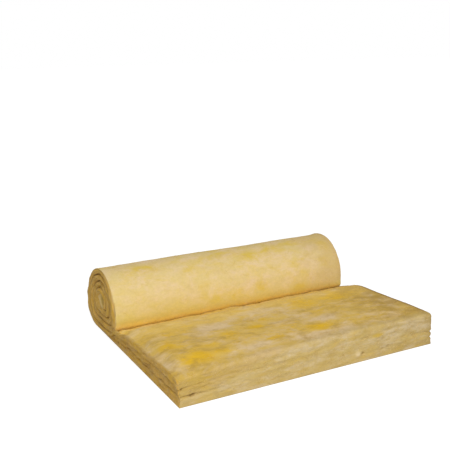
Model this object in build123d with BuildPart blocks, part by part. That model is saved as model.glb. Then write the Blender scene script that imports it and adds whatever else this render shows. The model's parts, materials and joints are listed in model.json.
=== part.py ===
"""A partly unrolled roll of glass wool insulation, one continuous blanket of wool.

The free end lies flat on the floor at its full, recovered thickness. Further back the
blanket slopes down to the front of the roll, follows the roll's underside while it thins
to its wound thickness, and is wound up. The roll is soft, so each turn sags to a flat
underneath, with tight arcs below its widest point and wide ones above. Its turns show on
both ends as a spiral gap.

X runs along the roll's axis, Y from the free end towards the roll, and Z is up. The
origin is on the floor, at the middle of the rectangle that the blanket covers.
"""

import os
from math import asin, degrees

from build123d import *

# Blanket: its width, and its thickness at the free end and where it is wound
blanket_width = 1200.0
free_end_thickness = 150.0
turn_pitch = 28.0

# Roll: where its axis stands from the free end, how high it lies and how much it sags
axis_from_free_end = 814.0
roll_height = 292.0
sag_share = 0.33
core_bore_radius = 30.0
core_wall = 4.0

# Gap between the turns, and how deep it is open at the ends
turn_gap = 4.0
turn_gap_depth = 14.0

# Slope in front of the roll, where the wool swells to its full thickness: from its foot, which
# touches the roll at the lift height, up to its crest
lift_height = 64.0
crest_height = 122.0
crest_before_roll = 140.0
crest_rounding = 60.0

# Rounding along the free end's upper and lower edges
upper_edge_rounding = 25.0
lower_edge_rounding = 6.0


class HalfTurn:
    """One half of a turn, counted inwards: even numbers lie at the back, odd ones in front."""

    def __init__(self, number):
        self.at_back = number % 2 == 0
        self.base = turn_pitch * ((number + 1) // 2)
        self.height = roll_height - turn_pitch * number
        self.upper_radius = self.height * (1 + sag_share) / 2
        self.lower_radius = self.height * (1 - sag_share) / 2
        self.widest = self.base + self.lower_radius
        half_flat = self.upper_radius - self.lower_radius
        side = 1 if self.at_back else -1
        self.flat_end = axis_from_free_end + side * half_flat

    def draw(self, growth=0.0):
        """Adds its lower and upper arc to the line being built, moved outwards by growth."""
        lower_start, upper_start = (-90, 0) if self.at_back else (180, 90)
        lower_centre = (self.flat_end, self.widest)
        upper_centre = (axis_from_free_end, self.widest)
        CenterArc(lower_centre, self.lower_radius + growth, lower_start, 90)
        CenterArc(upper_centre, self.upper_radius + growth, upper_start, 90)

    def inner_end(self):
        """The point where the half turn stops, going inwards: at the top, or underneath."""
        if self.at_back:
            return (axis_from_free_end, self.base + self.height)
        return (self.flat_end, self.base)


outside_back, outside_front = HalfTurn(0), HalfTurn(1)
roll_front = axis_from_free_end - outside_front.upper_radius
roll_back = axis_from_free_end + outside_back.upper_radius
half_width = blanket_width / 2

# The gap winds inwards until the bore leaves no room for another half turn
core_height = 2 * (core_bore_radius + core_wall)
last_half_turn = int((roll_height - core_height) / turn_pitch) - 1
inner_half_turns = [HalfTurn(number) for number in range(2, last_half_turn + 1)]


def section_plane(x):
    """Plane of a cross-section at x: local x is the distance from the free end, local y the height."""
    return Plane(origin=(x, -roll_back / 2, 0), x_dir=(0, 1, 0), z_dir=(1, 0, 0))


with BuildPart() as wool_blanket:
    # Blanket and roll in one section, swept along the roll's axis
    with BuildSketch(section_plane(-half_width)):
        with BuildLine():
            under_front = (outside_front.flat_end, outside_front.widest)
            under_radius = outside_front.lower_radius + turn_gap
            lift_angle = degrees(asin((outside_front.widest - lift_height) / under_radius))
            under = CenterArc(under_front, under_radius, 180 + lift_angle, 90 - lift_angle)
            foot, nip = under @ 0, under @ 1
            crest = (roll_front - crest_before_roll, crest_height)
            upper_edge = (0, free_end_thickness)
            lower_edge = (0, 0)
            floor_end = (outside_back.flat_end, 0)
            FilletPolyline(
                foot, crest, upper_edge, lower_edge, floor_end,
                radius=(crest_rounding, upper_edge_rounding, lower_edge_rounding),
            )
            outside_back.draw()
            outside_front.draw()
            Line(outside_front.inner_end(), nip)
        make_face()
        with Locations((axis_from_free_end, roll_height / 2)):
            Circle(core_bore_radius, mode=Mode.SUBTRACT)
    extrude(amount=blanket_width)

    # Spiral gap between the turns, open at both ends
    for end_x, inwards in ((-half_width, 1), (half_width, -1)):
        with BuildSketch(section_plane(end_x)):
            with BuildLine():
                start = outside_front.inner_end()
                Line(start, (start[0], start[1] - turn_gap))
                for growth in (0.0, turn_gap):
                    outer = outside_front
                    for turn in inner_half_turns:
                        if turn.at_back:
                            height = turn.base - growth
                            Line((outer.flat_end, height), (turn.flat_end, height))
                        turn.draw(growth)
                        outer = turn
                stop = inner_half_turns[-1].inner_end()
                outward = turn_gap if inner_half_turns[-1].at_back else -turn_gap
                Line(stop, (stop[0], stop[1] + outward))
            make_face()
        extrude(amount=inwards * turn_gap_depth, mode=Mode.SUBTRACT)

wool_blanket.part.label = "wool_blanket"

os.makedirs("parts", exist_ok=True)
export_step(wool_blanket.part, "parts/wool_blanket.step")
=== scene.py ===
"""Looks of a partly unrolled roll of glass wool: one soft, layered, fibrous blanket.

The blanket is a strip. Across runs along the roll's axis, run is the distance along the strip
from its free end, and layer is the height within it, from its underside to its upper side.
Wound up, the underside becomes the outside of the roll. Lengths are in metres.
"""

import collections
import itertools
import json
import math

import bmesh
import bpy
import numpy as np
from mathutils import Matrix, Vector
from mathutils.bvhtree import BVHTree


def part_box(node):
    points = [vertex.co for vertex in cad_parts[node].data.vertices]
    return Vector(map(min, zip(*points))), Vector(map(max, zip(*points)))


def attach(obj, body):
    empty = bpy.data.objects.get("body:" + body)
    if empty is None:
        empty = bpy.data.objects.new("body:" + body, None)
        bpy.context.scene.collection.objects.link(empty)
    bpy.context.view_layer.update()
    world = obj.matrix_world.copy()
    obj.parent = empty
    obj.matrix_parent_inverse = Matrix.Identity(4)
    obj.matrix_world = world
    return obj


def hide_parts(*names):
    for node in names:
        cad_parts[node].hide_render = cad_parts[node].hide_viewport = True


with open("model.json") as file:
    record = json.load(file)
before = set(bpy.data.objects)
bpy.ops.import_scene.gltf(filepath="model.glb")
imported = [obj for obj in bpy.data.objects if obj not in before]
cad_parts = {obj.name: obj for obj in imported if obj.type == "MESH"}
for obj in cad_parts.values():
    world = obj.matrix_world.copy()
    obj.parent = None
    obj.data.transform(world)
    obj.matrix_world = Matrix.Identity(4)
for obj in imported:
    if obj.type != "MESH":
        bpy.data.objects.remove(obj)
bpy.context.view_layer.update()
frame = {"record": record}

# Shape of the blanket, as in the solid
low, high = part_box("wool_blanket")
core = {mount["name"]: mount for mount in frame["record"]["mounts"]}["core_bore"]
half_width = high[0]
free_end_y = low[1]
roll_height = high[2]
axis_run = core["pos_m"][1] - free_end_y
core_height = core["pos_m"][2]
core_radius = core["dims"]["r_mm"] / 1000
free_end_thickness = 0.150
turn_pitch = 0.028
turn_gap = 0.004
turn_count = 4
sag_share = 0.33
lift_height = 0.064
crest_height = 0.122
crest_before_roll = 0.140
crest_rounding = 0.22
upper_edge_rounding = 0.010

# Edges of the flat part, which sink: shares of the height, and widths. The free end sinks most at its
# left corner.
left_droop_share = 0.18
left_droop_reach = 0.060
right_droop_share = 0.035
right_droop_reach = 0.040
end_droop_share = 0.05
end_corner_droop_share = 0.19
end_corner_reach = 0.26
end_droop_reach = 0.15
droop_power = 3

# How far the right side leans out at the floor, and the width of what leans
right_lean = 0.008
right_lean_reach = 0.08

# Rounding of the roll's two ends
roll_end_rounding = 0.008
roll_end_depth = 0.003

# Lip along the top of the roll's right end, and bulge low on its front there
roll_lip = 0.006
roll_lip_reach = 0.018
roll_lip_low = 0.23
roll_right_slump = 0.008
roll_right_reach = 0.05
roll_slump_height = 0.078
roll_slump_reach = 0.018

# Strip along the free end's upper edge that is rough like the end itself
torn_reach = 0.055

# Line where the pale wool of the free end gives way to the golden upper side: places across, and
# distances from the upper edge, back along the upper side or, below zero, down the end. The end's own
# shades fade out between two such distances.
pale_line_places = (-0.60, -0.45, -0.33, 0.0, 0.60)
pale_line_distances = (-0.105, -0.085, -0.040, 0.030, 0.045)
pale_line_waver = 0.022
pale_line_waver_length = 0.10
pale_line_blur = 0.022
end_fade = (-0.020, 0.085)

# Golden and cream patches on the upper side: place across and distance back from the upper edge,
# radius across and along. The same on the outside of the roll, with distances along the strip.
golden_patches = (
    (-0.46, 0.105, 0.085, 0.045),
    (-0.38, 0.100, 0.040, 0.030),
    (-0.53, 0.245, 0.045, 0.036),
    (-0.26, 0.237, 0.040, 0.026),
    (-0.13, 0.253, 0.034, 0.018),
    (-0.14, 0.102, 0.042, 0.013),
    (0.10, 0.118, 0.070, 0.030),
    (0.21, 0.403, 0.080, 0.050),
    (0.40, 0.410, 0.100, 0.060),
    (0.31, -0.035, 0.030, 0.010),
)
cream_patches = (
    (-0.28, 0.360, 0.080, 0.035),
    (0.00, 0.409, 0.070, 0.035),
    (-0.22, 0.080, 0.090, 0.030),
    (-0.595, 0.120, 0.030, 0.050),
    (0.03, 0.048, 0.100, 0.030),
    (0.14, 0.200, 0.055, 0.028),
    (0.50, -0.028, 0.120, 0.028),
    (-0.25, 0.010, 0.080, 0.025),
)
roll_patches = (
    (0.14, 1.645, 0.040, 0.022),
    (0.00, 1.662, 0.040, 0.025),
    (-0.11, 1.665, 0.040, 0.022),
    (0.19, 1.470, 0.120, 0.045),
    (0.02, 1.440, 0.090, 0.030),
    (0.37, 1.430, 0.080, 0.030),
    (0.535, 1.490, 0.030, 0.040),
    (0.505, 1.573, 0.030, 0.025),
    (-0.40, 1.447, 0.080, 0.030),
    (0.35, 1.687, 0.035, 0.015),
)

# Strips at the right end with painted shade, a wide one and a narrow one: places across where they
# start, and shares. The rims along the edge get the darkest painted shade, the free end's and the one
# behind it.
right_shade_starts = (0.25, 0.565)
right_shade_shares = (0.45, 0.65)
right_rim_shade_start = 0.572
end_rim_shade_start = 0.588
end_rim_shade_share = 0.60

# Heights between which the front of the roll is painted lighter and more golden, a painted glow of light
# thrown up from the flat part: the upper one at its left and right end
nip_light_low = 0.064
nip_light_highs = (0.215, 0.130)

# Distances past the foot of the slope between which the upper side is painted lighter, and then
# lightest: painted light in the shade of the roll. Low down, between two heights, the front of the roll
# is painted lightest too.
slope_light_fade = (-0.36, -0.16)
foot_light_fade = (-0.13, -0.07)
foot_light_heights = (0.068, 0.098)
foot_light_front_share = 0.90

# Mesh: pitch of rows, counts of cells, places of columns from an end, welding and smoothing
row_pitch = 0.0054
column_cells = 206
end_columns = (0.0, 0.0022, 0.0050, 0.0085, 0.0142)
mat_cells = 34
turn_cells = 8
flat_cells = 18
lower_cells = 30
upper_cells = 50
under_cells = 16
corner_cells = 14
floor_cells = 12
core_cells = 12
core_end_columns = (0.0, 0.005, 0.014, 0.032)
core_flat_degrees = -50
weld_step = 1e-6
smoothing_rounds = 2
smoothing_share = 0.5

# Share above which a point counts as lying in a zone
zone_share = 0.5

# Layout of the texture, in metres of surface: its size, its margin, and the scale of what is hardly seen
atlas_size = 1.86
atlas_margin = 0.02
hidden_scale = 0.5


def smooth_step(values, start, stop):
    """0 before start, 1 after stop, and a soft rise between them."""
    share = np.clip((values - start) / (stop - start), 0, 1)
    return share * share * (3 - 2 * share)


def arc(centre, radius, start, stop, cells):
    """Points along an arc, angles in degrees."""
    angles = np.radians(np.linspace(start, stop, cells + 1))
    return np.stack([centre[0] + radius * np.cos(angles), centre[1] + radius * np.sin(angles)], 1)


class HalfTurn:
    """One half of a turn, counted inwards: even numbers lie at the back, odd ones in front."""

    def __init__(self, number):
        self.at_back = number % 2 == 0
        self.base = turn_pitch * ((number + 1) // 2)
        height = roll_height - turn_pitch * number
        self.upper_radius = height * (1 + sag_share) / 2
        self.lower_radius = height * (1 - sag_share) / 2
        side = 1 if self.at_back else -1
        self.flat_end = axis_run + side * (self.upper_radius - self.lower_radius)
        self.widest = self.base + self.lower_radius

    def line(self):
        """Points of the half turn, going inwards along the strip."""
        lower_start, upper_start = (-90, 0) if self.at_back else (180, 90)
        lower_centre, upper_centre = (self.flat_end, self.widest), (axis_run, self.widest)
        lower = arc(lower_centre, self.lower_radius, lower_start, lower_start + 90, lower_cells)
        upper = arc(upper_centre, self.upper_radius, upper_start, upper_start + 90, upper_cells)
        first, second = (lower, upper) if self.at_back else (upper, lower)
        return np.vstack([first[:-1], second])


roll_front = axis_run - HalfTurn(1).upper_radius


def turn_line(turn):
    """Outside of one whole turn: its flat underneath, its back and its front."""
    back = HalfTurn(2 * turn)
    outer_front = HalfTurn(max(2 * turn - 1, 1))
    flat = np.linspace((outer_front.flat_end, back.base), (back.flat_end, back.base), flat_cells + 1)
    return np.vstack([flat[:-1], back.line()[:-1], HalfTurn(2 * turn + 1).line()])


def core_line(start):
    """Inside of the innermost turn: from the blanket's inner end on to the round hollow, once around."""
    centre = np.array((axis_run, core_height))
    first_angle = math.degrees(math.atan2(start[1] - centre[1], start[0] - centre[0]))
    half_cells = lower_cells + upper_cells
    angles = [first_angle]
    parts = ((core_flat_degrees, flat_cells), (90, half_cells), (first_angle + 360, half_cells))
    for stop, cells in parts:
        angles.extend(np.linspace(angles[-1], stop, cells + 1)[1:])
    angles = np.radians(angles)
    excess = np.linalg.norm(start - centre) - core_radius
    fade = np.clip(1 - np.arange(len(angles)) / flat_cells, 0, 1)
    radius = core_radius + excess * fade ** 2
    return centre + radius[:, None] * np.stack([np.cos(angles), np.sin(angles)], 1)


def unit(vector):
    return vector / np.linalg.norm(vector)


def rounded_path(corners, radii):
    """A path of straight runs with an arc at each corner between its ends."""
    corners = [np.array(corner, float) for corner in corners]
    points = [corners[0]]
    for before, corner, after, radius in zip(corners, corners[1:], corners[2:], radii):
        arrive, leave = unit(corner - before), unit(after - corner)
        bend = math.acos(float(arrive @ leave))
        reach = radius * math.tan(bend / 2)
        centre = corner + unit(leave - arrive) * math.hypot(radius, reach)
        first = corner - arrive * reach - centre
        last = corner + leave * reach - centre
        for share in np.linspace(0, 1, corner_cells + 1):
            points.append(centre + unit(first * (1 - share) + last * share) * radius)
    points.append(corners[-1])
    return np.array(points)


def under_line():
    """Upper side of the blanket from the foot of the slope to the nip, along the roll's underside."""
    front = HalfTurn(1)
    radius = front.lower_radius + turn_gap
    lift_angle = math.degrees(math.asin((front.widest - lift_height) / radius))
    line = arc((front.flat_end, front.widest), radius, 180 + lift_angle, 270, under_cells)
    line[:, 1] += turn_gap * smooth_step(np.arange(under_cells + 1), 0, under_cells)
    return line


def distance_along(points):
    steps = np.linalg.norm(np.diff(points, axis=0), axis=1)
    return np.concatenate([[0.0], np.cumsum(steps)])


def evenly(points, pitch):
    """The same path with points a pitch apart, and its own end points kept."""
    along = distance_along(points)
    places = np.linspace(0, along[-1], round(along[-1] / pitch) + 1)
    return np.stack([np.interp(places, along, points[:, axis]) for axis in (0, 1)], 1)


def across_columns(ends, cells):
    """Places of columns across the blanket: some near its two ends, and even cells between them."""
    inner = half_width - ends[-1]
    left = np.array(ends[:-1]) - half_width
    return np.concatenate([left, np.linspace(-inner, inner, cells + 1), -left[::-1]])


def chart_at(origin, right, up, scale=1.0):
    """Places in the texture of points whose distances to the right and up are given."""
    return np.array(origin) + scale * np.stack(np.broadcast_arrays(right, up), -1)


class Skin:
    """Grids of points, with their places in the strip and their zones, for one welded mesh."""

    def __init__(self):
        self.points, self.fields, self.charts, self.faces = [], [], [], []
        self.count = 0

    def add(self, across, section, run, layer, chart, cut=0.0, wound=0.0):
        """Adds a grid of points. Section holds each point's distance from the free end and its height."""
        shape = section.shape[:-1]
        fields = [np.broadcast_to(values, shape).ravel() for values in (across, run, layer, cut, wound)]
        y, z = section.reshape(-1, 2).T
        self.points.append(np.stack([fields[0], y + free_end_y, z], 1))
        self.fields.append(np.stack(fields, 1))
        self.charts.append(chart.reshape(-1, 2))
        index = np.arange(self.count, self.count + len(y)).reshape(shape)
        self.count += len(y)
        return index

    def sweep(self, line, columns, run, layer, corner, up, scale=1.0, cut=0.0, wound=0.0):
        """Adds a line of points swept across the columns."""
        section = line[:, None, :].repeat(len(columns), 1)
        chart = chart_at(corner, columns[None, :] + half_width, up[:, None], scale)
        return self.add(columns[None, :], section, run, layer, chart, cut, wound)

    def side(self, end, section, run, corner, wound):
        """Adds a grid on one end of the blanket, and its faces."""
        layers = np.linspace(0, free_end_thickness, section.shape[1])
        chart = chart_at(corner, section[..., 1], section[..., 0])
        index = self.add(end, section, run[:, None], layers[None, :], chart, 1.0, wound)
        self.grid(index)
        return index

    def grid(self, index):
        """Faces between the neighbouring rows and columns of a grid."""
        corners = (index[:-1, :-1], index[:-1, 1:], index[1:, 1:], index[1:, :-1])
        self.faces.extend(np.stack(corners, -1).reshape(-1, 4).tolist())

    def stitch(self, first, second):
        """Triangles between two lines of points that have different counts."""
        i, j = 0, 0
        last_i, last_j = len(first) - 1, len(second) - 1
        while i < last_i or j < last_j:
            if (i + 1) / last_i <= (j + 1) / last_j:
                self.faces.append([first[i], first[i + 1], second[j]])
                i += 1
            else:
                self.faces.append([first[i], second[j + 1], second[j]])
                j += 1

    def weld(self):
        """Makes points that lie on each other one. Returns points, strip, zones, faces and charts."""
        points, fields = np.concatenate(self.points), np.concatenate(self.fields)
        keys = np.round(points / weld_step).astype(np.int64)
        unused, first, inverse = np.unique(keys, axis=0, return_index=True, return_inverse=True)
        inverse = inverse.ravel()
        counts = np.bincount(inverse)
        zones = np.stack([np.bincount(inverse, zone) / counts for zone in fields[:, 3:].T], 1)
        used = np.unique(inverse[np.concatenate(self.faces)])
        number = np.full(len(first), -1)
        number[used] = np.arange(len(used))
        faces = [number[inverse[face]].tolist() for face in self.faces]
        charts = np.concatenate(self.charts)[np.concatenate(self.faces)] / atlas_size
        return points[first][used], fields[first, :3][used], zones[used], faces, charts


def blend_rows(first, second, cells):
    """Rows of points from each point of one line to the same point of another."""
    share = np.linspace(0, 1, cells + 1)[None, :, None]
    return first[:, None, :] * (1 - share) + second[:, None, :] * share


def blanket_skin():
    """The closed skin of the blanket, before it is made soft."""
    skin = Skin()
    columns = across_columns(end_columns, column_cells)
    turns = [turn_line(turn) for turn in range(turn_count)]
    turns.append(core_line(turns[-1][-1]))
    under = under_line()
    corners = ((0, 0), (0, free_end_thickness), (roll_front - crest_before_roll, crest_height), under[0])
    upper_path = rounded_path(corners, (upper_edge_rounding, crest_rounding))
    upper = np.vstack([evenly(upper_path[1:], row_pitch), under[1:]])
    lower = np.stack([upper[:, 0], np.zeros(len(upper))], 1)
    mat_run = distance_along(upper)
    layers = np.linspace(0, free_end_thickness, mat_cells + 1)

    # Free end, upper side, and outside of the roll
    front = blend_rows(lower[:1], upper[:1], mat_cells)[0]
    corner = (atlas_margin, atlas_margin)
    skin.grid(skin.sweep(front, columns, 0.0, layers[:, None], corner, front[:, 1], cut=1.0))
    torn = 1 - smooth_step(mat_run, 0, torn_reach)
    corner = (atlas_margin, corner[1] + free_end_thickness + atlas_margin)
    skin.grid(skin.sweep(upper, columns, mat_run[:, None], free_end_thickness, corner, mat_run,
                         cut=torn[:, None]))
    turn_run = mat_run[-1] + distance_along(turns[0])
    outside = turns[0][flat_cells:]
    corner = (atlas_margin, corner[1] + mat_run[-1] + atlas_margin)
    skin.grid(skin.sweep(outside, columns, turn_run[flat_cells:, None], 0.0, corner,
                         distance_along(outside), wound=1.0))

    # Underside, in few wide columns
    underside = np.vstack([lower[:-1], turns[0][:flat_cells + 1]])
    under_run = np.concatenate([mat_run[:-1], turn_run[:flat_cells + 1]])
    wide = np.linspace(-half_width, half_width, floor_cells + 1)
    right_part = 2 * half_width + 2 * atlas_margin
    corner = (right_part, atlas_margin)
    floor = skin.sweep(underside, wide, under_run[:, None], 0.0, corner, underside[:, 0], hidden_scale)
    skin.grid(floor[1:-1])
    for row, inner in ((0, 1), (-1, -2)):
        fine = skin.sweep(underside[[row]], columns, under_run[row], 0.0, corner, underside[[row], 0],
                          hidden_scale)
        skin.stitch(fine[0], floor[inner])

    # Both ends: the flat part's sides, and the turns wound up beside each other
    side_low = corner[1] + hidden_scale * underside[-1, 0] + atlas_margin
    for number, end in enumerate((-half_width, half_width)):
        corner = (right_part + number * (roll_height + atlas_margin), side_low)
        side = skin.side(end, blend_rows(lower[:-1], upper[:-1], mat_cells), mat_run[:-1], corner, 0.0)
        run = mat_run[-1]
        for outer, inner in zip(turns, turns[1:]):
            runs = run + distance_along(outer)
            rows = skin.side(end, blend_rows(outer, inner, turn_cells), runs, corner, 1.0)
            if outer is turns[0]:
                skin.stitch(side[-1], rows[0])
            run = runs[-1]

    # Hollow core, with the blanket's inner end standing in it
    tail = blend_rows(turns[-2][-1:], turns[-1][-1:], turn_cells)[0][::-1]
    hollow = np.vstack([turns[-1], tail[1:]])
    hollow_columns = across_columns(core_end_columns, core_cells)
    corner = (right_part, side_low + turns[0][:, 0].max() + atlas_margin)
    skin.grid(skin.sweep(hollow, hollow_columns, run, free_end_thickness, corner,
                         distance_along(hollow), hidden_scale, wound=1.0))
    return skin.weld()


# Noise: how many slopes it draws from, and the gain that brings it to between about -1 and 1
noise_slopes = 256
noise_gain = 1.7


def noise_at(places, seed):
    """Smooth noise between about -1 and 1 at each place, with swells about one unit long."""
    draw = np.random.default_rng(seed)
    order = draw.permutation(noise_slopes)
    slopes = draw.normal(size=(noise_slopes, 3))
    slopes /= np.linalg.norm(slopes, axis=1)[:, None]
    cell = np.floor(places).astype(int)
    offset = places - cell
    fade = offset ** 3 * (offset * (offset * 6 - 15) + 10)
    total = np.zeros(len(places))
    for corner in itertools.product((0, 1), repeat=3):
        corner = np.array(corner)
        x, y, z = ((cell + corner) % noise_slopes).T
        pick = order[(order[(order[x] + y) % noise_slopes] + z) % noise_slopes]
        rise = ((offset - corner) * slopes[pick]).sum(1)
        total += rise * np.where(corner, fade, 1 - fade).prod(1)
    return total * noise_gain


def gathered(items, name, width, kind=float):
    """One property of all points, edges or faces of a mesh."""
    values = np.empty(len(items) * width, kind)
    items.foreach_get(name, values)
    return values.reshape(-1, width)


def smoothed(points, edges, rounds, share, held):
    """Points moved towards the middle of their neighbours, but for those that are held."""
    first, second = edges.T
    ends, others = np.concatenate([first, second]), np.concatenate([second, first])
    counts = np.bincount(ends, minlength=len(points))
    for unused in range(rounds):
        middle = np.stack([np.bincount(ends, points[others, axis], len(points)) for axis in range(3)], 1)
        moves = share * (middle / counts[:, None] - points)
        points = points + np.where(held[:, None], 0, moves)
    return points


# Seeds of the noises. Where a noise has several, this is the first.
swell_seed = 0
lamination_seed = 11
lamination_patch_seed = 12
foot_seed = 13
split_seed = 20
split_open_seed = 30
tuft_seed = 40
lump_seed = 50
hollow_seed = 51
pale_line_seed = 60
turn_waver_seed = 70
turn_stagger_seed = 71
turn_lamination_seed = 72

# Relief of the surface: lengths across, along and through the blanket, and heights on the flat
# part's upper side, on the roll and on the cut faces. Tufts have round tops and sharp creases.
swells = (
    ((0.320, 0.220, 0.120), 0.0030, 0.0024, 0.0026),
    ((0.085, 0.075, 0.030), 0.0022, 0.0006, 0.0014),
    ((0.034, 0.030, 0.014), 0.0009, 0.0003, 0.0010),
    ((0.015, 0.015, 0.008), 0.0005, 0.0002, 0.0006),
)
tufts = (
    ((0.085, 0.090, 0.032), 0.0018, 0.0006, 0.0032),
    ((0.034, 0.036, 0.014), 0.0007, 0.0003, 0.0020),
)
tuft_middle = 0.3

# Thin layers that show on the cut faces, in patches
lamination_lengths = (0.070, 0.070, 0.012)
lamination_height = 0.0008
lamination_patch_length = 0.14
lamination_patch_share = 0.5

# Waves across the foot of the slope: their lengths and heights, where they are highest and how far
# along the strip they reach. The foot sinks a little, and most at the left end.
foot_waves = ((0.120, 0.0085), (0.048, 0.0065), (0.020, 0.0025))
foot_wave_before = 0.06
foot_wave_reach = 0.08
foot_drop = 0.003
foot_left_drop = 0.008
foot_left_reach = 0.38

# The right edge is cut cleaner than the rest
edge_calm = 0.06
edge_relief_share = 0.35

# Splits between the thick layers: height as a share of the thickness at the left and the right end,
# depth on the left side and how far it goes on along the free end, the same for the right side,
# and how far the layers above stand out on the left
Split = collections.namedtuple(
    "Split", "left_share right_share left_depth left_reach right_depth right_reach overhang")
splits = (
    Split(0.70, 0.46, 0.013, 0.075, 0.007, 0.090, 0.007),
    Split(0.37, 0.27, 0.018, 0.120, 0.007, 0.015, 0.004),
)
split_width = 0.0042
right_notch_reach = 0.02
split_front_depth = 0.0015
split_waver = 0.007
split_waver_length = 0.11

# How open the splits are along their way: about how much, how far that swings and how fast, and the least
split_open_share = 0.7
split_open_swing_share = 0.8
split_open_least_share = 0.1
split_open_pace = 2.3

# Lumps and hollows, with their heights and depths on the left and the right side. They fade out around
# the height where the top layer starts.
lump_lengths = (0.040, 0.052, 0.024)
lump_middle = 0.45
lump_heights = (0.008, 0.002)
hollow_lengths = (0.060, 0.062, 0.028)
hollow_rise = (0.20, 0.65)
hollow_depths = (0.006, 0.002)
top_fade_below_share = 0.1
top_fade_above_share = 0.05

# Pits in the free end, and a clump that stands out: place across, height and depth
pits = (
    (-0.552, 0.051, 0.014),
    (-0.542, 0.053, 0.020),
    (0.237, 0.113, 0.006),
    (0.238, 0.037, 0.016),
    (0.340, 0.037, 0.008),
    (0.367, 0.045, 0.008),
)
pit_radius = 0.0065
clump = (0.209, 0.040, 0.006)
clump_radius = 0.012

# Turns on the roll's ends: they bulge between the gaps, stand out more or less and are layered
gap_depth = 0.017
gap_power = 7
turn_bulge = 0.004
turn_stagger = 0.006
turn_stagger_length = 0.22
turn_waver_share = 0.16
turn_waver_length = 0.06
turn_lamination_lengths = (0.060, 0.060, 0.045)
turn_lamination_height = 0.0022

# Distances over which the relief fades: down to the floor, and to where the roll and the flat part touch
settle_height = 0.025
tuck_fade = 0.020


def droop(points):
    """Lets the flat part's edges sink."""
    run = points[:, 1] - free_end_y
    flat = 1 - smooth_step(run, roll_front - crest_before_roll / 2, roll_front)
    from_left, from_right = half_width + points[:, 0], half_width - points[:, 0]
    left = left_droop_share * np.clip(1 - from_left / left_droop_reach, 0, 1) ** 2
    right = right_droop_share * np.clip(1 - from_right / right_droop_reach, 0, 1) ** 2
    end = end_droop_share + end_corner_droop_share * np.exp(-from_left / end_corner_reach)
    end = end * np.clip(1 - run / end_droop_reach, 0, 1) ** 2
    total = (left ** droop_power + right ** droop_power + end ** droop_power) ** (1 / droop_power)
    sunk = points.copy()
    sunk[:, 2] *= 1 - flat * total
    spread = np.clip(1 - from_right / right_lean_reach, 0, 1)
    spread = spread * np.clip(1 - points[:, 2] / free_end_thickness, 0, 1)
    sunk[:, 0] += right_lean * flat * spread
    return sunk


def bumps(places, strip, radius):
    """Depths of small round bumps in the free end, at each point."""
    depth = np.zeros(len(strip))
    for across, height, middle_depth in places:
        off = np.stack([strip[:, 0] - across, strip[:, 1], strip[:, 2] - height], 1)
        depth = np.maximum(depth, middle_depth * np.exp(-(off ** 2).sum(1) / radius ** 2))
    return depth


def split_depths(strip, flat_cut):
    """How deep each point lies in a split, and how far the layers stand out on the left."""
    across, run, layer = strip.T
    from_left, from_right = half_width + across, half_width - across
    at_left, at_right = from_left < weld_step, from_right < weld_step
    waver = strip * (1, 1, 0) / split_waver_length
    hidden, stand_out = np.zeros(len(strip)), np.zeros(len(strip))
    for number, split in enumerate(splits):
        share = from_left / (2 * half_width)
        level = free_end_thickness * (split.left_share * (1 - share) + split.right_share * share)
        level = level + split_waver * noise_at(waver, split_seed + number)
        depth = split_front_depth + split.left_depth * np.exp(-from_left / split.left_reach)
        depth = depth + split.right_depth * np.exp(-from_right / split.right_reach)
        depth = np.where(at_left, split.left_depth, np.where(at_right, split.right_depth, depth))
        swing = split_open_swing_share * noise_at(waver * split_open_pace, split_open_seed + number)
        openness = np.clip(split_open_share + swing, split_open_least_share, 1)
        openness = np.maximum(openness, np.exp(-from_right / right_notch_reach))
        hidden += depth * openness * flat_cut * np.exp(-((layer - level) / split_width) ** 2)
        stand_out += split.overhang * at_left * flat_cut * smooth_step(layer, level, level + split_width)
    return hidden, stand_out


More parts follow.
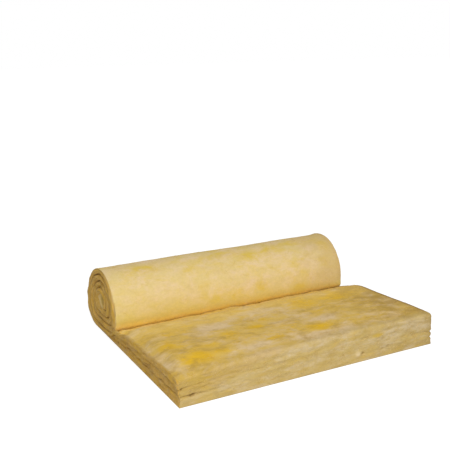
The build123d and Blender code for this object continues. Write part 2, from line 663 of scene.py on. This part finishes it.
def relief(strip, zones, foot_run):
    """How far each point of the skin moves outwards, and how deep it lies in a split or gap."""
    across, run, layer = strip.T
    cut, wound = zones.T
    upper, roll, flat_cut = (1 - cut) * (1 - wound), (1 - cut) * wound, cut * (1 - wound)
    zone_shares = np.stack([upper, roll, cut], 1)
    from_left, from_right = half_width + across, half_width - across
    rise = np.zeros(len(strip))
    for seed, (lengths, *heights) in enumerate(swells, swell_seed):
        rise += zone_shares @ heights * noise_at(strip / lengths, seed)
    for seed, (lengths, *heights) in enumerate(tufts, tuft_seed):
        rise += zone_shares @ heights * (np.abs(noise_at(strip / lengths, seed)) - tuft_middle)
    patch = noise_at(strip / lamination_patch_length, lamination_patch_seed)
    patch = np.clip(lamination_patch_share + patch, 0, 1)
    laminae = noise_at(strip / lamination_lengths, lamination_seed)
    rise += lamination_height * patch * flat_cut * laminae

    # Foot of the slope, and the calm right edge
    near_foot = np.exp(-((run - foot_run + foot_wave_before) / foot_wave_reach) ** 2) * upper
    left_drop = foot_left_drop * (1 - smooth_step(from_left, 0, foot_left_reach))
    rise -= (foot_drop + left_drop) * near_foot
    for seed, (length, height) in enumerate(foot_waves, foot_seed):
        rise += height * near_foot * noise_at(strip * (1, 0, 0) / length, seed)
    rise *= edge_relief_share + (1 - edge_relief_share) * smooth_step(from_right, 0, edge_calm)

    # Sides, roundings of the roll's ends, and splits, pits and a clump
    on_sides = np.stack([from_left, from_right], 1) < weld_step
    top_share = splits[0].left_share
    below_top = 1 - smooth_step(layer / free_end_thickness, top_share - top_fade_below_share,
                                top_share + top_fade_above_share)
    lumps = np.abs(noise_at(strip / lump_lengths, lump_seed)) - lump_middle
    rise += on_sides @ lump_heights * flat_cut * below_top * lumps
    hollows = smooth_step(noise_at(strip / hollow_lengths, hollow_seed), *hollow_rise)
    to_end = np.clip(1 - np.minimum(from_left, from_right) / roll_end_rounding, 0, 1)
    rise -= roll_end_depth * (1 - np.sqrt(1 - to_end ** 2)) * roll
    rise += bumps((clump,), strip, clump_radius)
    hidden, stand_out = split_depths(strip, flat_cut)
    hidden += bumps(pits, strip, pit_radius) + on_sides @ hollow_depths * flat_cut * below_top * hollows

    # Turns on the roll's ends
    from_edge = np.abs(2 * layer / free_end_thickness - 1)
    turn_end = smooth_step(cut, zone_share, 1) * wound
    along = strip * (1, 1, 0)
    openness = 1 + turn_waver_share * noise_at(along / turn_waver_length, turn_waver_seed)
    hidden += gap_depth * turn_end * np.clip(from_edge * openness, 0, 1) ** gap_power
    rise += turn_bulge * turn_end * (1 - from_edge ** 2)
    rise += turn_stagger * turn_end * noise_at(along / turn_stagger_length, turn_stagger_seed)
    laminae = noise_at(strip / turn_lamination_lengths, turn_lamination_seed)
    rise += turn_lamination_height * turn_end * laminae
    return rise + stand_out - hidden, hidden


def soften(points, strip, zones, mesh):
    """Moves the mesh's points from the plain skin to the soft, layered one."""
    edges = gathered(mesh.edges, "vertices", 2, np.int32)
    points = droop(points)
    on_floor = points[:, 2] < weld_step
    points = smoothed(points, edges, smoothing_rounds, smoothing_share, on_floor)
    mesh.vertices.foreach_set("co", points.ravel())
    mesh.update()
    normals = gathered(mesh.vertex_normals, "vector", 3)
    cut, wound = zones.T
    run = points[:, 1] - free_end_y
    foot = under_line()[0][0]
    on_top = (zones.sum(1) < zone_share) & (strip[:, 2] > free_end_thickness - weld_step)
    foot_run = strip[on_top][np.abs(run[on_top] - foot).argmin(), 1]
    rise, hidden = relief(strip, zones, foot_run)
    height, in_front = points[:, 2], run < axis_run
    on_roll = wound * (1 - cut)
    from_right = half_width - strip[:, 0]
    lip = np.exp(-from_right / roll_lip_reach) * smooth_step(height, roll_lip_low, roll_height)
    rise += on_roll * roll_lip * lip
    low_roll = 1 - smooth_step(height, lift_height, lift_height + tuck_fade)
    tucked = np.where(wound > zone_share, low_roll, smooth_step(run, foot, foot + tuck_fade))
    rise *= 1 - tucked * (1 - cut) * in_front
    slump = np.exp(-((height - roll_slump_height) / roll_slump_reach) ** 2) * in_front
    rise += on_roll * roll_right_slump * slump * np.exp(-from_right / roll_right_reach)
    rise *= smooth_step(height, 0, settle_height)
    points = points + normals * rise[:, None]
    points[:, 2] = np.maximum(points[:, 2], 0)
    mesh.vertices.foreach_set("co", points.ravel())
    mesh.update()
    return hidden, foot_run


def patch_shares(patches, across, distance):
    """How near each point is to the middle of a patch, from 1 down to 0."""
    near = np.zeros(len(across))
    for middle, place, half_across, half_along in patches:
        off = ((across - middle) / half_across) ** 2 + ((distance - place) / half_along) ** 2
        near = np.maximum(near, np.exp(-off))
    return near


def tint_shares(points, strip, zones, hidden, foot_run):
    """Shares from 0 to 1 at each point, which tell the material where each colour goes."""
    across, run, layer = strip.T
    cut, wound = zones.T
    at_end = half_width - np.abs(across) < weld_step
    from_edge = np.where(layer < free_end_thickness, layer - free_end_thickness, run)
    line = np.interp(across, pale_line_places, pale_line_distances)
    line += pale_line_waver * noise_at(strip * (1, 0, 0) / pale_line_waver_length, pale_line_seed)
    pale = 1 - smooth_step(from_edge, line - pale_line_blur, line + pale_line_blur)
    golden = patch_shares(golden_patches, across, from_edge)
    golden = golden - patch_shares(cream_patches, across, from_edge)
    golden = golden * (1 - wound) + patch_shares(roll_patches, across, run) * wound * (1 - cut)
    # Painted light at the nip: the roll's front is painted lighter and more golden low down
    nip_light_high = np.interp(across, (-half_width, half_width), nip_light_highs)
    facing_nip = 1 - smooth_step(points[:, 2], nip_light_low, nip_light_high)
    in_front = points[:, 1] - free_end_y < axis_run
    # Painted light low on the roll's front and just past the foot of the slope
    low_front = foot_light_front_share * in_front * (1 - smooth_step(points[:, 2], *foot_light_heights))
    near_foot = smooth_step(run - foot_run, *foot_light_fade)
    # Painted shade along the right rims: behind the free end's upper edge, and on the free end itself
    rim_shade = smooth_step(across, right_rim_shade_start, half_width) * (1 - cut) * (1 - pale)
    near_end = (1 - smooth_step(run, 0, torn_reach)) * (1 - wound)
    end_rim_shade = end_rim_shade_share * smooth_step(across, end_rim_shade_start, half_width) * near_end
    shades = zip(right_shade_starts, right_shade_shares)
    return {
        "pale": np.where(at_end | (wound > zone_share), cut, pale),
        "end": 1 - smooth_step(from_edge, *end_fade),
        "wound": wound,
        "side": cut * at_end,
        # Depth in splits, gaps between turns and pits, and the right rims: where painted shade goes
        "hidden": np.maximum(hidden / gap_depth, np.maximum(rim_shade, end_rim_shade)),
        "golden": golden,
        # Painted light at the nip, low on the roll's front
        "nip": (1 - cut) * wound * facing_nip * in_front,
        # Painted shade that grows towards the right end
        "right": sum(share * smooth_step(across, start, half_width) for start, share in shades),
        # Painted light on the slope in the roll's shade, and lightest at its foot
        "slope": smooth_step(run - foot_run, *slope_light_fade) * (1 - cut) * (1 - wound),
        "foot": (1 - cut) * np.where(wound > zone_share, low_front, near_foot),
        "clump": bumps((clump,), strip, clump_radius) / clump[2],
    }


def wool_mesh():
    points, strip, zones, faces, charts = blanket_skin()
    mesh = bpy.data.meshes.new("glass_wool")
    mesh.from_pydata(points.tolist(), [], faces)
    mesh.uv_layers.new(name="OFBake").data.foreach_set("uv", charts.ravel())
    build = bmesh.new()
    build.from_mesh(mesh)
    bmesh.ops.recalc_face_normals(build, faces=build.faces)
    build.to_mesh(mesh)
    build.free()
    hidden, foot_run = soften(points, strip, zones, mesh)
    mesh.attributes.new("strip", "FLOAT_VECTOR", "POINT").data.foreach_set("vector", strip.ravel())
    for name, values in tint_shares(points, strip, zones, hidden, foot_run).items():
        mesh.attributes.new(name, "FLOAT", "POINT").data.foreach_set("value", values.astype(float))
    mesh.polygons.foreach_set("use_smooth", [True] * len(mesh.polygons))
    return mesh


def linear(colour):
    """Scene colour of an sRGB colour given from 0 to 255."""
    shares = (value / 255 for value in colour)
    return tuple(v / 12.92 if v <= 0.04045 else ((v + 0.055) / 1.055) ** 2.4 for v in shares) + (1.0,)


class Nodes:
    """Adds shader nodes to a tree and links them."""

    def __init__(self, tree):
        self.tree = tree
        tree.nodes.clear()

    def add(self, kind, inputs=(), **settings):
        """Adds a node. Inputs are socket names or numbers with a value, or an output to link."""
        node = self.tree.nodes.new(kind)
        for name, value in settings.items():
            setattr(node, name, value)
        for socket, value in dict(inputs).items():
            if isinstance(value, bpy.types.NodeSocket):
                self.tree.links.new(value, node.inputs[socket])
            else:
                node.inputs[socket].default_value = value
        return node

    def attribute(self, name, output):
        return self.add("ShaderNodeAttribute", attribute_name=name).outputs[output]

    def math(self, operation, first, second=0.0):
        return self.add("ShaderNodeMath", {0: first, 1: second}, operation=operation).outputs[0]

    def times(self, first, second):
        return self.math("MULTIPLY", first, second)

    def vector(self, operation, first, second):
        return self.add("ShaderNodeVectorMath", {0: first, 1: second}, operation=operation).outputs[0]

    def noise(self, place, noise):
        """One of the noises, which its shift sets apart from the others."""
        moved = self.vector("ADD", place, (noise.shift,) * 3)
        scaled = self.vector("MULTIPLY", moved, tuple(1 / length for length in noise.lengths))
        inputs = {"Vector": scaled, "Scale": 1.0, "Detail": noise.detail,
                  "Distortion": noise.distortion, "Roughness": noise.roughness}
        return self.add("ShaderNodeTexNoise", inputs).outputs[0]

    def total(self, parts):
        """Sum of values, each times its weight."""
        total = 0.0
        for value, weight in parts:
            total = self.math("ADD", self.times(value, weight), total)
        return total

    def patch(self, patch, maps):
        """Share of one kind of patch at each place."""
        value = self.total((maps[name], weight) for name, weight in patch.weights.items())
        inputs = {"Value": value, "From Min": patch.start, "From Max": patch.stop}
        rise = self.add("ShaderNodeMapRange", inputs, interpolation_type="SMOOTHSTEP").outputs[0]
        return self.times(rise, patch.most_share)

    def mix(self, share, first, second, blend="MIX"):
        inputs = {0: share, 6: first, 7: second}
        return self.add("ShaderNodeMix", inputs, data_type="RGBA", blend_type=blend).outputs[2]

    def wool(self, wool, masks):
        """Colour of one kind of surface: its base with golden, cream and shaded patches over it."""
        colour = linear(wool.base)
        for share, over in zip(masks, (wool.golden, wool.cream, wool.shade)):
            colour = self.mix(share, colour, linear(over))
        return colour

    def dimmed(self, colour, level):
        """The colour times a grey level."""
        grey = self.add("ShaderNodeCombineColor", {0: level, 1: level, 2: level}).outputs[0]
        return self.mix(1.0, colour, grey, "MULTIPLY")

    def seen(self):
        """1 for rays that show a thing, and 0 for those that only light it."""
        rays = self.add("ShaderNodeLightPath")
        seen = rays.outputs["Is Camera Ray"]
        for name in ("Is Glossy Ray", "Is Transmission Ray"):
            seen = self.math("MAXIMUM", seen, rays.outputs[name])
        return seen


def new_material(name):
    """A new material, and the nodes to build it with."""
    material = bpy.data.materials.new(name)
    material.use_nodes = True
    return material, Nodes(material.node_tree)


def add_object(name, data):
    thing = bpy.data.objects.new(name, data)
    bpy.context.collection.objects.link(thing)
    return thing


# Colours of the wool, in sRGB: base, golden, cream and shaded wool on each kind of surface. The
# shaded wool makes random dark smears, and painted shade towards the right end.
Wool = collections.namedtuple("Wool", "base golden cream shade")
upper_wool = Wool((217, 183, 98), (227, 181, 38), (224, 197, 154), (176, 142, 68))
# Painted light: a lighter copy of the upper side's wool, for the slope in the roll's shade
slope_painted_light = Wool((236, 200, 110), (240, 196, 70), (238, 208, 150), (208, 172, 90))
torn_wool = Wool((204, 173, 104), (210, 170, 62), (214, 188, 146), (172, 140, 76))
end_wool = Wool((190, 160, 88), (197, 162, 60), (197, 170, 120), (160, 129, 66))
cut_wool = Wool((196, 171, 111), (201, 168, 76), (206, 186, 148), (174, 147, 88))
# Painted shade: a more saturated, golden copy of the cut wool for the cut faces at the two ends
side_shade_wool = Wool((205, 164, 84), (224, 180, 42), (200, 170, 112), (164, 126, 58))
roll_wool = Wool((228, 203, 138), (227, 195, 84), (237, 209, 168), (211, 180, 118))
# Painted light: the lightest copy, for the foot of the slope and the roll's front low down
foot_painted_light = Wool((252, 218, 116), (250, 212, 84), (252, 226, 160), (222, 184, 98))
# Painted light at the nip: a lighter, golden colour for the roll's front low down
nip_painted_light = (222, 200, 107)
clump_wool = (226, 205, 164)
# Painted shade: a dark brown for splits, gaps between turns, pits and the right rims
deep_painted_shade = (130, 92, 36)
pale_wool = (226, 204, 158)
# Most of the painted light at the nip that shows
nip_light_share = 0.85
# Most of the painted light at the foot that shows
foot_light_share = 0.70
clump_share = 0.8

# Noises of the wool: lengths across, along and through the blanket, detail, distortion, roughness and shift
Noise = collections.namedtuple("Noise", "lengths detail distortion roughness shift")
wool_noises = {
    "patches": Noise((0.140, 0.110, 0.050), 5, 0.4, 0.62, 0.0),
    "flecks": Noise((0.064, 0.044, 0.020), 5, 0.4, 0.70, 0.0),
    "clouds": Noise((0.100, 0.070, 0.042), 5, 0.4, 0.70, 3.7),
    "creases": Noise((0.084, 0.052, 0.026), 5, 0.4, 0.68, 8.1),
    "laminae": Noise((0.050, 0.070, 0.018), 3, 0.5, 0.60, 6.4),
    "streaks": Noise((0.020, 0.014, 0.011), 3, 0.6, 0.60, 5.3),
    "grain": Noise((0.0100, 0.0090, 0.0055), 3, 0.4, 0.60, 0.0),
    "fine": Noise((0.0060, 0.0045, 0.0020), 4, 1.0, 0.55, 0.0),
}

# Patches of golden, cream and shaded wool, and of painted deep shade: weights of the noises and of the
# mesh's own shares, the values between which a patch rises, and the most of it that shows. The shaded
# patches are random dark smears with painted shade added towards the right end.
Patch = collections.namedtuple("Patch", "weights start stop most_share")
golden_patch = Patch({"patches": 0.55, "flecks": 0.45, "golden": 0.25}, 0.40, 0.77, 0.95)
cream_patch = Patch({"clouds": 1.0, "golden": -0.25}, 0.42, 0.72, 0.85)
# The shaded patches: random dark smears, with painted shade added towards the right end
shade_patch = Patch({"creases": 1.0, "right": 0.42}, 0.44, 0.80, 0.80)
cut_shade_patch = Patch({"creases": 1.0, "front_right": 0.20}, 0.44, 0.80, 0.80)
roll_golden_patch = Patch({"patches": 0.6, "flecks": 0.4, "golden": 0.27}, 0.42, 0.74, 0.90)
roll_cream_patch = Patch({"clouds": 1.0}, 0.38, 0.70, 0.80)
# Painted shade in splits, gaps between turns and pits, and along the right rims
deep_shade_patch = Patch({"hidden": 1.0}, 0.15, 0.90, 0.75)
# Shares of the upper side's dark smears and of the painted shade at the right end in the roll's dark
# patches
roll_shade_share = 0.45
roll_right_share = 0.55

# Fine light and dark: the level in between, and how far grain, streaks and the turns' layers swing it
grain_level = 0.85
grain_swing = 0.18
streak_swing = 0.12
lamina_swing = 0.9
lamina_middle = 0.5

# Fine relief of the surface, and how it takes the light
bump_strength_share = 0.4
bump_height = 0.002
wool_finish = {"Roughness": 0.95, "Specular IOR Level": 0.1, "Sheen Weight": 0.08, "Sheen Roughness": 0.6}


def wool_material():
    material, nodes = new_material("glass_wool")
    place = nodes.attribute("strip", "Vector")
    names = ("pale", "end", "wound", "side", "hidden", "golden", "nip", "right", "slope", "foot", "clump")
    maps = {name: nodes.attribute(name, "Fac") for name in names}
    for name, noise in wool_noises.items():
        maps[name] = nodes.noise(place, noise)
    end, side, wound, right = (maps[name] for name in ("end", "side", "wound", "right"))
    # Painted shade of the right end, but not on the cut faces at the two ends
    maps["front_right"] = nodes.times(right, nodes.math("SUBTRACT", 1.0, side))

    # Patches on the upper side, on the cut faces and on the roll
    golden, cream = nodes.patch(golden_patch, maps), nodes.patch(cream_patch, maps)
    shade = nodes.patch(shade_patch, maps)
    masks = (golden, cream, shade)
    cut_masks = (golden, cream, nodes.patch(cut_shade_patch, maps))
    # Painted shade towards the roll's right end, with the upper side's dark smears
    roll_shade = nodes.total(((shade, roll_shade_share), (right, roll_right_share)))
    roll_masks = (nodes.patch(roll_golden_patch, maps), nodes.patch(roll_cream_patch, maps), roll_shade)

    # Each kind of surface over the one before
    colour = nodes.mix(end, nodes.wool(upper_wool, masks), nodes.wool(end_wool, cut_masks))
    # Painted light on the slope before the roll
    colour = nodes.mix(maps["slope"], colour, nodes.wool(slope_painted_light, masks))
    colour = nodes.mix(wound, colour, nodes.wool(roll_wool, roll_masks))
    # Painted light low on the roll's front, by the nip
    colour = nodes.mix(nodes.times(maps["nip"], nip_light_share), colour, linear(nip_painted_light))
    # Painted light at the foot of the slope and low on the roll's front
    colour = nodes.mix(nodes.times(maps["foot"], foot_light_share), colour, nodes.wool(foot_painted_light, masks))
    cut = nodes.mix(end, nodes.wool(torn_wool, cut_masks), nodes.wool(cut_wool, cut_masks))
    # The cut faces at the two ends, in their painted shade colour
    cut = nodes.mix(side, cut, nodes.wool(side_shade_wool, cut_masks))
    colour = nodes.mix(maps["pale"], colour, cut)
    colour = nodes.mix(nodes.times(maps["clump"], clump_share), colour, linear(clump_wool))
    # Painted shade in splits, gaps, pits and along the right rims
    colour = nodes.mix(nodes.patch(deep_shade_patch, maps), colour, linear(deep_painted_shade))

    # Grain, and layers on the ends of the turns
    level = nodes.total(((maps["grain"], grain_swing), (maps["streaks"], streak_swing)))
    level = nodes.math("ADD", level, grain_level)
    layered = nodes.math("SUBTRACT", maps["laminae"], lamina_middle)
    layered = nodes.times(layered, nodes.times(side, wound))
    level = nodes.math("ADD", level, nodes.times(layered, lamina_swing))
    bump = nodes.add("ShaderNodeBump", {
        "Height": maps["fine"], "Strength": bump_strength_share, "Distance": bump_height})
    surface = nodes.add("ShaderNodeBsdfPrincipled", {
        **wool_finish, "Base Color": nodes.dimmed(colour, level), "Normal": bump.outputs[0],
        "Sheen Tint": linear(pale_wool)})
    nodes.add("ShaderNodeOutputMaterial", {"Surface": surface.outputs[0]})
    return material


wool = add_object("glass_wool", wool_mesh())
wool.data.materials.append(wool_material())
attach(wool, "root")
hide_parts("wool_blanket")

# Loose fibres that lie on the wool: how many, how long, how thick, how deep their roots are and how high
# their ends stand, and their shares on the sides, the free end, the roll and the upper side
fibre_count = 2600
fibre_joints = 7
fibre_sides = 3
fibre_lengths = (0.012, 0.046)
fibre_radii = (0.00018, 0.00034)
fibre_root_depth = 0.0015
fibre_lifts = (0.0006, 0.0040)
fibre_bend = 0.35
fibre_place_shares = (0.45, 0.20, 0.15, 0.20)
fibre_floor_gap = 0.002
fibre_seed = 5
fibre_margin_share = 0.1

# Colours of the fibres, and their mottling: the noise, the level in between and how far it swings
fibre_tones = ((196, 158, 74), (232, 208, 150))
fibre_noise = Noise((0.020, 0.020, 0.020), 2, 0.0, 0.55, 0.0)
fibre_level = 0.85
fibre_swing = 0.3
fibre_finish = {"Roughness": 0.7, "Specular IOR Level": 0.3}


def fibre_places(mesh, draw):
    """Faces that fibres start from, so that each kind of surface gets its share of them."""
    heights = gathered(mesh.polygons, "center", 3)[:, 2]
    areas = gathered(mesh.polygons, "area", 1).ravel() * (heights > fibre_floor_gap)
    corner = [polygon.vertices[0] for polygon in mesh.polygons]
    side, end, wound = (
        gathered(mesh.attributes[name].data, "value", 1)[corner, 0] for name in ("side", "end", "wound"))
    end = end * (1 - side) * (1 - wound)
    wound = wound * (1 - side)
    upper = (1 - side) * (1 - end) * (1 - wound)
    places = []
    for share, kind in zip(fibre_place_shares, (side, end, wound, upper)):
        weights = areas * kind
        places.extend(draw.choice(len(weights), round(share * fibre_count), p=weights / weights.sum()))
    return places


def fibre_path(tree, place, normal, draw):
    """Joints of one fibre: from its root in the wool, along the surface, to an end that stands off it."""
    step = draw.uniform(*fibre_lengths) / (fibre_joints - 1)
    lift = draw.uniform(*fibre_lifts)
    heading = Vector(draw.normal(size=3))
    joints = [place - normal * fibre_root_depth]
    for joint in range(1, fibre_joints):
        heading = heading + normal.cross(heading) * draw.normal(0, fibre_bend)
        heading = (heading - normal * heading.dot(normal)).normalized()
        place, normal = tree.find_nearest(place + heading * step)[:2]
        joints.append(place + normal * lift * (joint / (fibre_joints - 1)) ** 2)
    for joint in joints:
        joint.z = max(joint.z, fibre_floor_gap)
    return joints


def fibre_chart():
    """Corners of a fibre's faces in its cell of the texture: sides along it, both ends in a corner."""
    row, side = np.divmod(np.arange((fibre_joints - 1) * fibre_sides), fibre_sides)
    step = np.array((1 / (fibre_joints - 1), 1 / fibre_sides))
    low = np.stack([row, side], 1) * step
    quads = np.stack([low, low + step * (0, 1), low + step, low + step * (1, 0)], 1).reshape(-1, 2)
    corners = np.concatenate([quads, np.zeros((2 * fibre_sides, 2))])
    return fibre_margin_share + (1 - 2 * fibre_margin_share) * corners


def fibre_mesh(wool):
    """All loose fibres: thin closed strands, each with a tone and a cell of the texture."""
    draw = np.random.default_rng(fibre_seed)
    corners = [vertex.co for vertex in wool.vertices]
    tree = BVHTree.FromPolygons(corners, [list(polygon.vertices) for polygon in wool.polygons])
    points, faces, tones = [], [], []
    places = fibre_places(wool, draw)
    for face in places:
        polygon = wool.polygons[face]
        joints = fibre_path(tree, polygon.center.copy(), polygon.normal.copy(), draw)
        radius, tone, first = draw.uniform(*fibre_radii), draw.uniform(), len(points)
        for joint, middle in enumerate(joints):
            along = joints[min(joint + 1, fibre_joints - 1)] - joints[max(joint - 1, 0)]
            across = along.orthogonal().normalized()
            other = along.cross(across).normalized()
            for side in range(fibre_sides):
                angle = 2 * math.pi * side / fibre_sides
                points.append(middle + radius * (across * math.cos(angle) + other * math.sin(angle)))
        rings = np.arange(fibre_joints * fibre_sides).reshape(fibre_joints, fibre_sides) + first
        around = np.roll(rings, -1, 1)
        sides = np.stack([rings[:-1], around[:-1], around[1:], rings[1:]], -1).reshape(-1, 4)
        faces.extend(sides.tolist() + [rings[0][::-1].tolist(), rings[-1].tolist()])
        tones.extend([tone] * rings.size)
    cells = math.ceil(math.sqrt(len(places)))
    up, right = np.divmod(np.arange(len(places)), cells)
    charts = (np.stack([right, up], 1)[:, None, :] + fibre_chart()) / cells
    mesh = bpy.data.meshes.new("loose_fibres")
    mesh.from_pydata(points, [], faces)
    mesh.uv_layers.new(name="OFBake").data.foreach_set("uv", charts.ravel())
    mesh.attributes.new("tone", "FLOAT", "POINT").data.foreach_set("value", tones)
    return mesh


def fibre_material():
    material, nodes = new_material("loose_fibres")
    place = nodes.add("ShaderNodeTexCoord").outputs["Object"]
    mottle = nodes.times(nodes.noise(place, fibre_noise), fibre_swing)
    dark, light = (linear(tone) for tone in fibre_tones)
    colour = nodes.mix(nodes.attribute("tone", "Fac"), dark, light)
    colour = nodes.dimmed(colour, nodes.math("ADD", mottle, fibre_level))
    surface = nodes.add("ShaderNodeBsdfPrincipled", {**fibre_finish, "Base Color": colour})
    nodes.add("ShaderNodeOutputMaterial", {"Surface": surface.outputs[0]})
    return material


fibres = add_object("loose_fibres", fibre_mesh(wool.data))
fibres.data.materials.append(fibre_material())
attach(fibres, "root")

# Floor, which shows white and keeps a pale shadow: its greys for the light that it throws back and for
# the shadow, and its own glow
floor_size = 40.0
floor_drop = 0.0005
floor_plain_grey = 0.8
floor_shadow_grey = 0.35
floor_glow = 0.84

# White surroundings, and one round lamp in front
world_strength = 0.50
lamp_place = (-1.1, -3.4, 2.5)
lamp_target = (0.0, 0.0, 0.1)
lamp_size = 2.0
lamp_power = 98

# Camera: its place from the free end's lower left corner, its lens and sensor in millimetres, and how
# many degrees it looks to the right and down
camera_offset = (-1.053, -2.2819, 1.3578)
camera_lens = 61.18
camera_sensor_width = 36.0
camera_yaw = 28.543
camera_pitch = 14.938


def add_floor():
    mesh = bpy.data.meshes.new("floor")
    reach = floor_size / 2
    corners = [(-reach, -reach), (reach, -reach), (reach, reach), (-reach, reach)]
    mesh.from_pydata([(x, y, -floor_drop) for x, y in corners], [], [(0, 1, 2, 3)])
    material, nodes = new_material("floor")
    plain, shadowed = (
        nodes.add("ShaderNodeBsdfDiffuse", {"Color": (grey, grey, grey, 1)}).outputs[0]
        for grey in (floor_plain_grey, floor_shadow_grey))
    glow = nodes.add("ShaderNodeEmission", {"Color": (1, 1, 1, 1), "Strength": floor_glow}).outputs[0]
    shown = nodes.add("ShaderNodeAddShader", {0: shadowed, 1: glow}).outputs[0]
    mixed = nodes.add("ShaderNodeMixShader", {0: nodes.seen(), 1: plain, 2: shown}).outputs[0]
    nodes.add("ShaderNodeOutputMaterial", {"Surface": mixed})
    mesh.materials.append(material)
    floor = add_object("floor", mesh)


def add_world():
    world = bpy.data.worlds.new("studio")
    world.use_nodes = True
    nodes = Nodes(world.node_tree)
    level = nodes.times(nodes.seen(), 1 - world_strength)
    level = nodes.math("ADD", level, world_strength)
    background = nodes.add("ShaderNodeBackground", {"Color": (1, 1, 1, 1), "Strength": level})
    nodes.add("ShaderNodeOutputWorld", {"Surface": background.outputs[0]})
    bpy.context.scene.world = world


def look_along(thing, direction):
    thing.rotation_euler = Vector(direction).to_track_quat("-Z", "Y").to_euler()


def add_lamp():
    data = bpy.data.lights.new("key", "AREA")
    data.shape = "DISK"
    data.size = lamp_size
    data.energy = lamp_power
    lamp = add_object("key", data)
    lamp.location = lamp_place
    look_along(lamp, Vector(lamp_target) - Vector(lamp_place))


def add_camera():
    data = bpy.data.cameras.new("camera")
    data.lens = camera_lens
    data.sensor_width = camera_sensor_width
    camera = add_object("camera", data)
    camera.location = Vector((-half_width, free_end_y, 0)) + Vector(camera_offset)
    yaw, pitch = math.radians(camera_yaw), math.radians(camera_pitch)
    level_share = math.cos(pitch)
    look_along(camera, (math.sin(yaw) * level_share, math.cos(yaw) * level_share, -math.sin(pitch)))
    bpy.context.scene.camera = camera


add_floor()
add_world()
add_lamp()
add_camera()
bpy.context.scene.view_settings.view_transform = "Standard"
